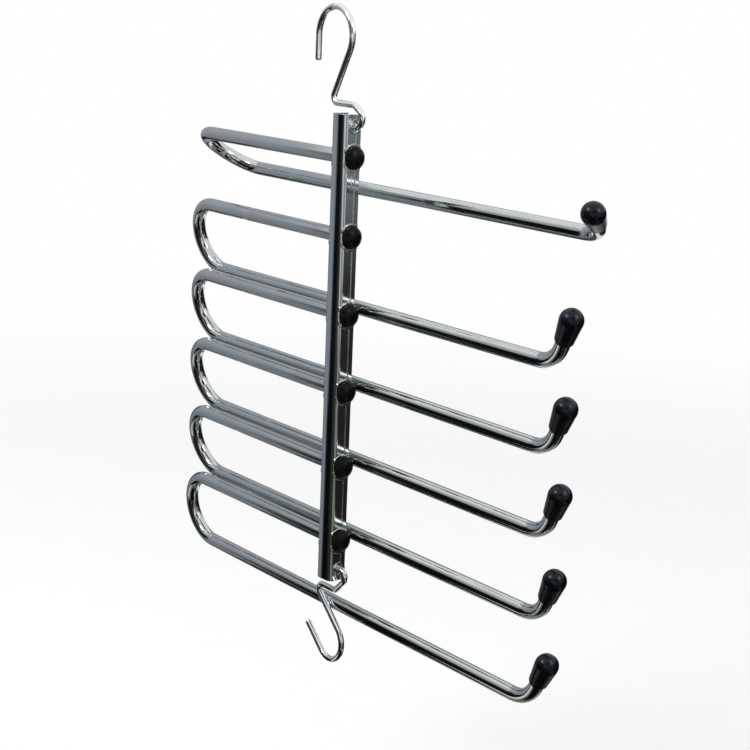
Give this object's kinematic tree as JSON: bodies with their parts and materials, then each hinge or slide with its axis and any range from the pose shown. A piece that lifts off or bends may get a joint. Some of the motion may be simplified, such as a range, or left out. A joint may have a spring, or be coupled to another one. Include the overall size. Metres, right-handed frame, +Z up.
{
  "type": "trouser hanger",
  "caption": "Trouser hanger with swinging chromed tube arms on a channel column, black ball tips and a folding rail hook at each end.",
  "frame": {"origin": "underside of the top hook's crest, where it sits on a rail", "axes": "+Z up, +X along the arms to their free tips, +Y to the open back of the column"},
  "size_m": [0.3921, 0.0518, 0.4217],
  "materials": {
    "chrome": "bright chrome plate on steel",
    "black_cap": "glossy soft black vinyl"
  },
  "bodies": {
    "top_hook": {"top_hook": "chrome"},
    "column": {"column": "chrome"},
    "arm_1": {"arm_1": "chrome", "pivot_cap_1": "black_cap", "tip_cap_1": "black_cap"},
    "arm_2": {"arm_2": "chrome", "pivot_cap_2": "black_cap", "tip_cap_2": "black_cap"},
    "arm_3": {"arm_3": "chrome", "pivot_cap_3": "black_cap", "tip_cap_3": "black_cap"},
    "arm_4": {"arm_4": "chrome", "pivot_cap_4": "black_cap", "tip_cap_4": "black_cap"},
    "arm_5": {"arm_5": "chrome", "pivot_cap_5": "black_cap", "tip_cap_5": "black_cap"},
    "arm_6": {"arm_6": "chrome", "pivot_cap_6": "black_cap", "tip_cap_6": "black_cap"},
    "bottom_hook": {"bottom_hook": "chrome"}
  },
  "joints": [
    {"name": "top_hook_fold", "type": "hinge", "parent": "top_hook", "child": "column", "pos_m": [0.016, 0, -0.0691], "axis": [1, 0, 0], "range_deg": [-90, 15]},
    {"name": "arm_1_swing", "type": "hinge", "parent": "column", "child": "arm_1", "pos_m": [0.016, 0, -0.0881], "axis": [1, 0, 0], "range_deg": [-43.5, 90]},
    {"name": "arm_2_swing", "type": "hinge", "parent": "column", "child": "arm_2", "pos_m": [0.016, 0, -0.1371], "axis": [1, 0, 0], "range_deg": [0, 66]},
    {"name": "arm_3_swing", "type": "hinge", "parent": "column", "child": "arm_3", "pos_m": [0.016, 0, -0.1861], "axis": [1, 0, 0], "range_deg": [0, 66]},
    {"name": "arm_4_swing", "type": "hinge", "parent": "column", "child": "arm_4", "pos_m": [0.016, 0, -0.2351], "axis": [1, 0, 0], "range_deg": [0, 66]},
    {"name": "arm_5_swing", "type": "hinge", "parent": "column", "child": "arm_5", "pos_m": [0.016, 0, -0.2841], "axis": [1, 0, 0], "range_deg": [0, 66]},
    {"name": "arm_6_swing", "type": "hinge", "parent": "column", "child": "arm_6", "pos_m": [0.016, 0, -0.3331], "axis": [1, 0, 0], "range_deg": [0, 70]},
    {"name": "bottom_hook_fold", "type": "hinge", "parent": "column", "child": "bottom_hook", "pos_m": [0.016, 0, -0.3521], "axis": [1, 0, 0], "range_deg": [-90, 0]}
  ]
}
